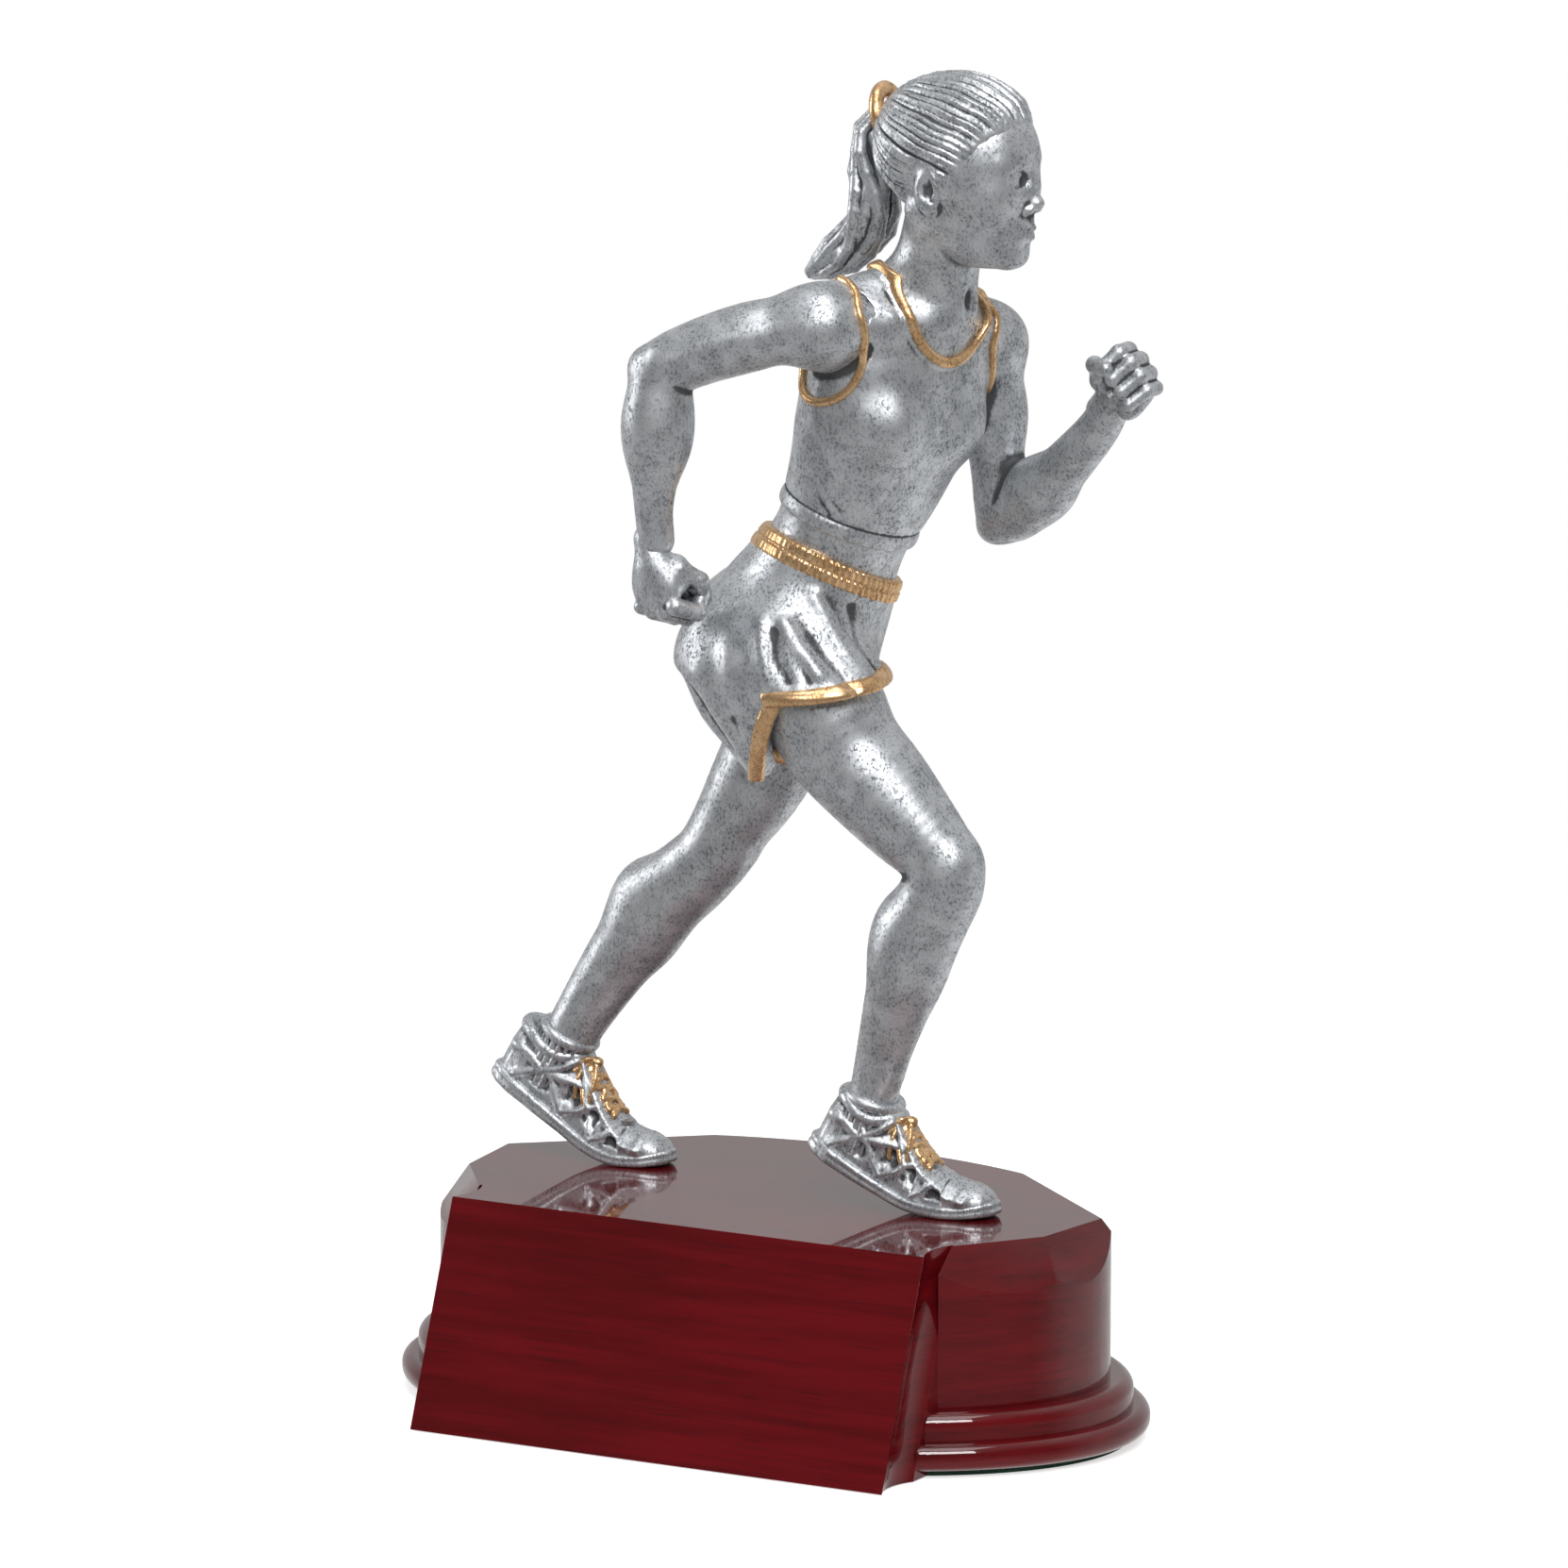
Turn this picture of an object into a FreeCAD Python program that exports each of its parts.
"""Figure trophy: a cast running figure, clamped by two studs to a lacquered oval base.

Row frame: millimetres, +Z up, +X the way the runner faces, -Y the front of the base,
origin at the centre of the base's footprint on the table.
"""
import FreeCAD
import Part
import math
import os

V = FreeCAD.Vector

# ---- driving dimensions: base -------------------------------------------------------
BASE_LENGTH = 124.5
BASE_DEPTH = 80.0
BASE_HEIGHT = 34.0
PLINTH_HEIGHT = 9.5
FELT_THICKNESS = 1.0
FELT_INSET = 3.0
COLUMN_HALF_LENGTH = 56.0
COLUMN_HALF_DEPTH = 34.2
BLOCK_HALF_LENGTH = 41.5
BLOCK_FRONT_TOP = -27.0
BLOCK_BACK = -13.0
FLUTE_RADIUS = 8.0
FLUTE_DEPTH = 1.4
FLUTE_HALF_WIDTH = 4.5
TOP_FACETS = ((-36.5, 44.4, 55.0), (-7.0, 51.0, 57.0), (50.0, 40.5, 55.0))

# ---- driving dimensions: fasteners --------------------------------------------------
STUD_RADIUS = 1.5
WASHER_RADIUS = 4.5
WASHER_THICKNESS = 0.8
NUT_ACROSS_FLATS = 5.5
NUT_THICKNESS = 2.4
COUNTERBORE_RADIUS = 5.5
COUNTERBORE_TOP = 6.0
DOWEL_RADIUS = 1.2

# ---- driving dimensions: figure armature --------------------------------------------
MID_Y = 3.5
PELVIS = V(3.0, MID_Y, 120.0)
NECK_BASE = V(24.3, MID_Y, 174.0)
SKULL = V(31.0, MID_Y, 196.4)
SHOULDER = {"right": V(16.5, -12.5, 172.0), "left": V(28.5, 18.5, 166.0)}
ELBOW = {"right": V(-8.5, -20.0, 165.3), "left": V(28.2, 21.0, 139.0)}
WRIST = {"right": V(-9.3, -19.5, 137.0), "left": V(49.4, 15.0, 156.4)}
FIST = {"right": V(-7.6, -19.5, 131.0), "left": V(54.6, 13.2, 163.0)}
HIP = {"right": V(7.5, -4.8, 116.0), "left": V(0.5, 11.8, 112.5)}
KNEE = {"right": V(31.5, -2.5, 88.0), "left": V(-18.0, 10.0, 83.0)}
ANKLE = {"right": V(17.8, 0.0, 50.7), "left": V(-41.0, 8.0, 52.0)}
HEEL = {"right": V(10.6, 0.2, 41.5), "left": V(-50.5, 8.0, 45.5)}
BALL = {"right": V(27.5, 0.5, BASE_HEIGHT), "left": V(-30.5, 7.5, BASE_HEIGHT)}
TOE = {"right": V(38.6, 0.8, BASE_HEIGHT), "left": V(-22.6, 7.5, BASE_HEIGHT)}
SHOE_HALF_WIDTH = 4.6
FOREFOOT_BACK = {"right": 8.0, "left": 3.5}
SOLE_THICKNESS = 2.2

TRUNK_AXIS = (NECK_BASE - PELVIS).normalize()
SIDES = ("right", "left")

# height along the trunk axis, half width, half depth, turn about the axis in degrees
TRUNK_SECTIONS = (
    (-9.0, 14.5, 10.5, 22.0),
    (-1.0, 17.2, 12.0, 22.0),
    (9.0, 14.4, 10.2, 15.0),
    (17.5, 12.2, 9.0, 5.0),
    (27.0, 13.6, 10.4, -8.0),
    (38.0, 15.8, 13.2, -18.0),
    (48.0, 16.8, 11.6, -21.0),
    (55.5, 14.2, 7.6, -21.0),
)
WAISTBAND = (11.2, 15.0)
HEM = 18.0
SINGLET_TOP = 55.5
OVAL_POINTS = 16


# ---- geometry helpers ---------------------------------------------------------------
def frame_at(point, along, side):
    """A placement matrix whose Z runs along a direction and whose X leans to the side."""
    z = V(along).normalize()
    x = (side - z * side.dot(z)).normalize()
    y = z.cross(x)
    return FreeCAD.Matrix(
        x.x, y.x, z.x, point.x,
        x.y, y.y, z.y, point.y,
        x.z, y.z, z.z, point.z,
        0, 0, 0, 1,
    )


def oval(point, along, side, half_x, half_y, turn=0.0):
    """A smooth closed wire across a direction, its long axis turned about that direction."""
    place = frame_at(point, along, side)
    start = math.radians(turn)
    points = []
    for i in range(OVAL_POINTS):
        t = 2 * math.pi * i / OVAL_POINTS - start
        x, y = half_x * math.cos(t), half_y * math.sin(t)
        turned = V(x * math.cos(start) - y * math.sin(start), x * math.sin(start) + y * math.cos(start), 0)
        points.append(place.multVec(turned))
    curve = Part.BSplineCurve()
    curve.interpolate(points, PeriodicFlag=True)
    return Part.Wire(curve.toShape())


def loft(wires):
    return Part.makeLoft(wires, True, False)


def taper(start, end, start_radius, end_radius):
    """A round bar between two points, plain or tapered."""
    run = end - start
    if abs(start_radius - end_radius) < 0.02:
        return Part.makeCylinder(start_radius, run.Length, start, run)
    return Part.makeCone(start_radius, end_radius, run.Length, start, run)


def limb(stations, round_ends=False):
    """A round limb through (point, radius) stations, with a ball at every bend."""
    parts = []
    for (start, start_radius), (end, end_radius) in zip(stations, stations[1:]):
        parts.append(taper(start, end, start_radius, end_radius))
    balls = stations if round_ends else stations[1:-1]
    for point, radius in balls:
        parts.append(Part.makeSphere(radius, point))
    return parts[0].multiFuse(parts[1:])


def ellipsoid(centre, along, half_across, half_along):
    """An egg of revolution round a direction."""
    arc = Part.Arc(V(0, 0, -half_along), V(half_across, 0, 0), V(0, 0, half_along))
    if half_along > half_across:
        ellipse = Part.Ellipse(V(0, 0, half_along), V(half_across, 0, 0), V(0, 0, 0))
        arc = Part.ArcOfEllipse(ellipse, -math.pi, 0)
    profile = Part.Wire([arc.toShape(), Part.makeLine(arc.EndPoint, arc.StartPoint)])
    egg = Part.Face(profile).revolve(V(0, 0, 0), V(0, 0, 1), 360)
    egg.Placement = FreeCAD.Placement(centre, FreeCAD.Rotation(V(0, 0, 1), along))
    return egg


def rod(start, end, radius):
    return Part.makeCylinder(radius, (end - start).Length, start, end - start)


def torus(centre, axis, major, minor):
    return Part.makeTorus(major, minor, centre, axis)


def between(a, b, share):
    return a + (b - a) * share


def subtract(shape, *others):
    for other in others:
        if shape.BoundBox.intersect(other.BoundBox):
            shape = shape.cut(other)
    return largest(shape)


def largest(shape):
    """The main solid of a cut, without the crumbs that it leaves."""
    return max(shape.Solids, key=lambda s: s.Volume)


def slab(low, high, reach=60.0):
    """The space between two heights on the trunk axis."""
    box = Part.makeBox(2 * reach, 2 * reach, high - low, V(-reach, -reach, low))
    return box.transformGeometry(frame_at(PELVIS, TRUNK_AXIS, V(0, 1, 0)))


def trunk(grow=0.0):
    wires = []
    for height, width, depth, turn in TRUNK_SECTIONS:
        centre = PELVIS + TRUNK_AXIS * height
        wires.append(oval(centre, TRUNK_AXIS, V(0, 1, 0), width + grow, depth + grow, turn))
    return loft(wires)


# ---- base ---------------------------------------------------------------------------
def oval_prism(half_length, half_depth, low, height):
    edge = Part.Ellipse(V(0, 0, low), half_length, half_depth).toShape()
    return Part.Face(Part.Wire(edge)).extrude(V(0, 0, height))


def block_prism(grow=0.0):
    """The front block: a plain back half and a face that leans back from the foot."""
    front = -BASE_DEPTH / 2
    corners = (
        V(0, front - grow, 0),
        V(0, BLOCK_FRONT_TOP - grow, BASE_HEIGHT),
        V(0, BLOCK_BACK, BASE_HEIGHT),
        V(0, BLOCK_BACK, 0),
    )
    moved = [c + V(-BLOCK_HALF_LENGTH, 0, 0) for c in corners]
    face = Part.Face(Part.makePolygon(moved + moved[:1]))
    return face.extrude(V(2 * BLOCK_HALF_LENGTH, 0, 0))


def flutes():
    """The two shallow coves that run down the ends of the front block."""
    lean = V(0, BLOCK_FRONT_TOP + BASE_DEPTH / 2, BASE_HEIGHT)
    foot = V(0, FLUTE_HALF_WIDTH - BASE_DEPTH / 2, 0) - lean * 0.2
    cutters = []
    for sign in (-1, 1):
        out = V(sign * (BLOCK_HALF_LENGTH + FLUTE_RADIUS - FLUTE_DEPTH), 0, 0)
        cutters.append(rod(foot + out, foot + lean * 1.4 + out, FLUTE_RADIUS))
    return cutters


def bevel_cutters():
    """Planed facets round the column's top: each plane's bearing, reach and slope."""
    cutters = []
    for bearing, reach, slope in TOP_FACETS:
        for turn in (bearing, 180 - bearing):
            box = Part.makeBox(60, 160, 60, V(0, -80, 0))
            box.rotate(V(0, 0, 0), V(0, 1, 0), slope)
            box.translate(V(reach, 0, BASE_HEIGHT))
            box.rotate(V(0, 0, 0), V(0, 0, 1), turn)
            cutters.append(box)
    return cutters


def column():
    low = PLINTH_HEIGHT
    solid = oval_prism(COLUMN_HALF_LENGTH, COLUMN_HALF_DEPTH, low, BASE_HEIGHT - low)
    solid = subtract(solid, *bevel_cutters())
    solid = subtract(solid, front_space())
    return solid


def front_space():
    """Everything in front of the column's ridges, as deep as the front block's back."""
    width = 2 * BLOCK_HALF_LENGTH
    return Part.makeBox(width, 60, BASE_HEIGHT + 20, V(-BLOCK_HALF_LENGTH, BLOCK_BACK - 60, -5))


def plinth():
    """The moulding below the column: a wide lower bead and a narrower upper bead."""
    half_length, half_depth = BASE_LENGTH / 2, BASE_DEPTH / 2
    lower_height, upper_top = 5.2, PLINTH_HEIGHT
    lower_round, upper_round = 2.3, 2.0
    lower = oval_prism(half_length, half_depth, FELT_THICKNESS, lower_height - FELT_THICKNESS)
    lower = lower.makeFillet(lower_round - 0.4, rim_edges(lower))
    step = 2.6
    upper = oval_prism(half_length - step, half_depth - step, lower_height - 1, upper_top - lower_height + 1)
    upper = upper.makeFillet(upper_round, rim_edges(upper)[-1:])
    return largest(lower.fuse(upper).removeSplitter())


def rim_edges(prism):
    """A prism's closed edges, lowest first."""
    closed = [e for e in prism.Edges if e.isClosed()]
    return sorted(closed, key=lambda e: e.CenterOfMass.z)


def felt_pad():
    half_length, half_depth = BASE_LENGTH / 2, BASE_DEPTH / 2
    return oval_prism(half_length - FELT_INSET, half_depth - FELT_INSET, 0, FELT_THICKNESS)


# ---- fasteners ----------------------------------------------------------------------
def stud(side):
    low = COUNTERBORE_TOP - WASHER_THICKNESS - NUT_THICKNESS - 0.8
    ball = BALL[side]
    top = {"right": 7.5, "left": 6.5}[side]
    return rod(V(ball.x, ball.y, low), V(ball.x, ball.y, BASE_HEIGHT + top), STUD_RADIUS)


def washer(side):
    ball = BALL[side]
    low = V(ball.x, ball.y, COUNTERBORE_TOP - WASHER_THICKNESS)
    disc = Part.makeCylinder(WASHER_RADIUS, WASHER_THICKNESS, low)
    return disc.cut(stud(side))


def nut(side):
    ball = BALL[side]
    low = COUNTERBORE_TOP - WASHER_THICKNESS - NUT_THICKNESS
    corner = NUT_ACROSS_FLATS / math.sqrt(3)
    points = [
        V(ball.x + corner * math.cos(math.radians(a)), ball.y + corner * math.sin(math.radians(a)), low)
        for a in range(0, 361, 60)
    ]
    hexagon = Part.Face(Part.makePolygon(points)).extrude(V(0, 0, NUT_THICKNESS))
    return hexagon.cut(stud(side))


def counterbore(side):
    ball = BALL[side]
    return Part.makeCylinder(COUNTERBORE_RADIUS, COUNTERBORE_TOP - FELT_THICKNESS, V(ball.x, ball.y, FELT_THICKNESS))


# ---- figure -------------------------------------------------------------------------
def thigh(side, grow=0.0):
    hip, knee, ankle = HIP[side], KNEE[side], ANKLE[side]
    girth = {"right": (9.8, 8.8, 6.6), "left": (9.2, 7.6, 6.0)}[side]
    calf = between(knee, ankle, 0.28) + V(-1.6, 0, 0)
    return [
        (hip, girth[0] + grow),
        (between(hip, knee, 0.42) + V(1.0, 0, 0.5), girth[1] + grow),
        (between(hip, knee, 0.82), girth[2] + grow),
        (knee, 6.0 + grow),
        (calf, 6.0 + grow),
        (between(knee, ankle, 0.62) + V(-0.8, 0, 0), 4.8 + grow),
        (ankle, 3.9 + grow),
        (between(ankle, knee, -0.12), 3.9 + grow),
    ]


def leg(side):
    return limb(thigh(side))


def shorts_sleeve(side):
    hip, knee = HIP[side], KNEE[side]
    girth = {"right": (10.4, 10.2), "left": (9.8, 9.2)}[side]
    share = {"right": 0.42, "left": 0.36}[side]
    return limb([(hip, girth[0]), (between(hip, knee, share), girth[1])])


def shorts_trim(side):
    hip, knee = HIP[side], KNEE[side]
    girth = {"right": 10.5, "left": 9.5}[side]
    share = {"right": 0.42, "left": 0.36}[side]
    return limb([(between(hip, knee, share), girth), (between(hip, knee, share + 0.055), girth)])


def arm(side):
    """Shoulder ball, upper arm and forearm, down to the wrist."""
    shoulder, elbow, wrist = SHOULDER[side], ELBOW[side], WRIST[side]
    stations = [
        (shoulder, 5.9),
        (between(shoulder, elbow, 0.5), 4.5),
        (between(shoulder, elbow, 0.86), 4.2),
        (between(elbow, wrist, 0.18), 4.6),
        (between(elbow, wrist, 0.55), 3.8),
        (wrist, 2.9),
    ]
    return limb(stations, round_ends=True)


def fist(side):
    """A closed hand: the heel of the hand, and the knuckles with folded fingers."""
    along = (FIST[side] - WRIST[side]).normalize()
    heel = FIST[side] - along * 3.4
    knuckles = FIST[side] + along * 1.2
    return limb([(heel, 3.2), (knuckles, 4.5)], round_ends=True)


def head():
    stations = [
        (between(NECK_BASE, SKULL, -0.12), 8.4),
        (between(NECK_BASE, SKULL, 0.12), 5.7),
        (between(NECK_BASE, SKULL, 0.7), 5.2),
    ]
    neck = limb(stations)
    skull = ellipsoid(SKULL + V(2.0, 0, 0.4), V(0.16, 0, 1), 9.9, 12.2)
    jaw = limb([(SKULL + V(3.2, 0, -5.0), 7.2), (SKULL + V(6.6, 0, -11.0), 4.6)], round_ends=True)
    return neck.multiFuse([skull, jaw])


def hair():
    cap = ellipsoid(SKULL + V(1.0, 0, 0.8), V(0.16, 0, 1), 10.9, 12.8)
    hairline = Part.makeBox(60, 80, 80, V(0, -40, -40))
    hairline.rotate(V(0, 0, 0), V(0, 1, 0), 32)
    hairline.translate(SKULL + V(3.2, 0, 2.0))
    return cap.cut(hairline)


def ponytail():
    return limb([(V(19.5, MID_Y, 203.8), 2.6), (V(15.4, MID_Y, 201.0), 3.4),
                 (V(13.6, MID_Y, 194.0), 4.0), (V(13.2, MID_Y, 187.0), 4.4),
                 (V(9.6, MID_Y, 181.0), 3.9), (V(4.6, MID_Y, 177.4), 1.6)])


def hair_tie():
    return torus(V(20.2, MID_Y, 204.2), V(-0.85, 0, 0.4), 2.9, 0.9)


def sock(side):
    ankle, knee = ANKLE[side], KNEE[side]
    return limb([(between(ankle, knee, -0.18), 4.9), (between(ankle, knee, 0.11), 4.7)])


def shoe_length(side):
    """Where the flat forefoot starts, and the toe, both on the base's top."""
    back = BALL[side] + V(-FOREFOOT_BACK[side], 0, 0)
    return back, TOE[side]


def plan_outline(side):
    """The shoe's outline seen from above, as a tall prism: round toe, round heel."""
    toe, heel = TOE[side], HEEL[side]
    half = SHOE_HALF_WIDTH
    start = heel.x - 1.8
    low, height = BASE_HEIGHT - 1, 40
    bar = Part.makeBox(toe.x - start - 2 * half, 2 * half, height, V(start + half, toe.y - half, low))
    tip = Part.makeCylinder(half, height, V(toe.x - half, toe.y, low))
    back = Part.makeCylinder(half, height, V(start + half, toe.y, low))
    return bar.fuse(tip).fuse(back)


def side_prism(side, corners):
    """A side view outline, extruded across the shoe."""
    left = TOE[side].y - SHOE_HALF_WIDTH - 1
    points = [V(x, left, z) for x, z in corners]
    return Part.Face(Part.makePolygon(points + points[:1])).extrude(V(0, 2 * SHOE_HALF_WIDTH + 2, 0))


def sole(side):
    """A flat forefoot with a round toe, and a shank that climbs to the raised heel."""
    back, toe = shoe_length(side)
    heel = HEEL[side]
    low, high = BASE_HEIGHT, BASE_HEIGHT + SOLE_THICKNESS
    corners = (
        (back.x, low),
        (toe.x + 1, low),
        (toe.x + 1, high),
        (back.x + 1.0, high),
        (heel.x - 3.0, heel.z + 1.4),
        (heel.x - 3.0, heel.z - 1.2),
    )
    return largest(side_prism(side, corners).common(plan_outline(side)))


def instep_line(side):
    """The tongue's line, from the toe box up to the front of the ankle."""
    back, toe = shoe_length(side)
    ankle = ANKLE[side]
    low = V(between(back, toe, 0.55).x, toe.y, BASE_HEIGHT + SOLE_THICKNESS + 6.4)
    return low, V(ankle.x + 5.0, toe.y, ankle.z - 5.6)


def shoe(side):
    """The upper, from the toe cap over the instep to the heel counter."""
    back, toe = shoe_length(side)
    heel, ankle = HEEL[side], ANKLE[side]
    low = BASE_HEIGHT + SOLE_THICKNESS
    tongue, throat = instep_line(side)
    corners = (
        (back.x + 1.0, low),
        (toe.x + 1, low),
        (toe.x - 0.6, low + 2.2),
        (toe.x - 4.0, low + 4.4),
        (tongue.x, tongue.z),
        (throat.x, throat.z),
        (ankle.x - 4.2, ankle.z - 1.6 + (heel.z - 41.5) * 0.2),
        (heel.x - 0.6, heel.z + 4.8),
        (heel.x - 2.0, heel.z + 1.9),
    )
    upper = side_prism(side, corners).common(plan_outline(side))
    return largest(upper)


def laces(side):
    """Bars of lace across the tongue, half sunk in it."""
    low, high = instep_line(side)
    bars = []
    for i in range(4):
        centre = between(low, high, 0.08 + 0.26 * i)
        bars.append(rod(centre + V(0, -2.8, 0), centre + V(0, 2.8, 0), 0.8))
    return bars


# ---- assembly -----------------------------------------------------------------------
def dowels():
    """Steel pins that locate the glued castings on each other."""
    neck_up = (SKULL - NECK_BASE).normalize()
    pins = {"neck_dowel": rod(NECK_BASE - neck_up * 5, NECK_BASE + neck_up * 6, DOWEL_RADIUS)}
    for side in SIDES:
        out = (ELBOW[side] - SHOULDER[side]).normalize()
        into = SHOULDER[side] + V(0, 4.0 if side == "right" else -4.0, 0) - out * 3
        pins[side + "_shoulder_dowel"] = rod(into, SHOULDER[side] + out * 10, DOWEL_RADIUS)
        down = (KNEE[side] - HIP[side]).normalize()
        pins[side + "_hip_dowel"] = rod(HIP[side] + down * 2, HIP[side] + down * 20, DOWEL_RADIUS)
    pins["waist_dowel"] = rod(PELVIS + TRUNK_AXIS * 5, PELVIS + TRUNK_AXIS * 26, DOWEL_RADIUS)
    return pins


def pieces(shapes):
    """One node of several separate solids."""
    return Part.makeCompound([largest(s) for s in shapes])


def base_nodes():
    studs = [stud(side) for side in SIDES]
    bores = studs + [counterbore(side) for side in SIDES]
    block = subtract(block_prism(), *flutes(), *bores)
    return {
        "pedestal_body": subtract(column(), *bores),
        "plaque_block": block,
        "plinth_moulding": subtract(plinth(), front_space(), *bores),
        "felt_pad": subtract(felt_pad(), front_space()),
        "right_foot_stud": studs[0],
        "left_foot_stud": studs[1],
        "stud_washers": pieces([washer(side) for side in SIDES]),
        "stud_nuts": pieces([nut(side) for side in SIDES]),
    }


def trunk_nodes(pins):
    whole = trunk()
    sleeves = [shorts_sleeve(side) for side in SIDES]
    shorts = whole.common(slab(-30, WAISTBAND[0]))
    for sleeve in sleeves:
        shorts = shorts.fuse(sleeve)
    shorts = largest(shorts.common(slab(-80, WAISTBAND[0])))
    nodes = {
        "shorts": shorts,
        "waistband": trunk(0.7).common(slab(*WAISTBAND)),
        "midriff": whole.common(slab(WAISTBAND[1], HEM)),
        "singlet": whole.common(slab(HEM, SINGLET_TOP)),
    }
    return {name: subtract(largest(shape), *pins) for name, shape in nodes.items()}


def limb_nodes(side, trunk_parts, pins):
    shorts, singlet = trunk_parts["shorts"], trunk_parts["singlet"]
    stud_here = stud(side)
    soles = subtract(sole(side), stud_here)
    upper = subtract(shoe(side), soles, stud_here)
    socks = subtract(sock(side), upper)
    legs = subtract(leg(side), shorts, upper, socks, *pins)
    trim = subtract(shorts_trim(side), legs, shorts)
    arms = subtract(arm(side), singlet, shorts, *pins)
    hands = subtract(fist(side), arms, shorts)
    return {
        side + "_sole": soles,
        side + "_shoe": upper,
        side + "_sock": socks,
        side + "_leg": legs,
        side + "_shorts_trim": trim,
        side + "_arm": arms,
        side + "_hand": hands,
        side + "_laces": pieces([bar.cut(upper).cut(socks) for bar in laces(side)]),
    }


def head_nodes(singlet, pins):
    tie = hair_tie()
    heads = subtract(head(), singlet, *pins)
    caps = subtract(hair(), heads, tie)
    tail = subtract(ponytail(), tie, caps, heads, singlet)
    return {"head": heads, "hair": caps, "ponytail": tail, "hair_tie": tie}


def piping_nodes(singlet, parts):
    """Raised edging round the neck opening and both armholes, proud of the cloth."""
    rings = {"neckline_piping": torus(NECK_BASE + V(1.5, 0, -2.0), V(0.7, 0, 1), 8.4, 0.9)}
    for side in SIDES:
        out = (ELBOW[side] - SHOULDER[side]).normalize()
        rings[side + "_armhole_piping"] = torus(SHOULDER[side] + out * 1.0, out, 5.9, 0.9)
    return {name: subtract(ring, singlet, *parts) for name, ring in rings.items()}


def build():
    pins = dowels()
    cutters = list(pins.values())
    nodes = dict(pins)
    nodes.update(base_nodes())
    trunk_parts = trunk_nodes(cutters)
    nodes.update(trunk_parts)
    for side in SIDES:
        nodes.update(limb_nodes(side, trunk_parts, cutters))
    singlet = trunk_parts["singlet"]
    nodes.update(head_nodes(singlet, cutters))
    near = [nodes[n] for n in ("head", "hair", "ponytail", "right_arm", "left_arm")]
    nodes.update(piping_nodes(singlet, near))
    return nodes


def main():
    os.makedirs("parts", exist_ok=True)
    for name, shape in build().items():
        shape.exportStep(f"parts/{name}.step")


main()
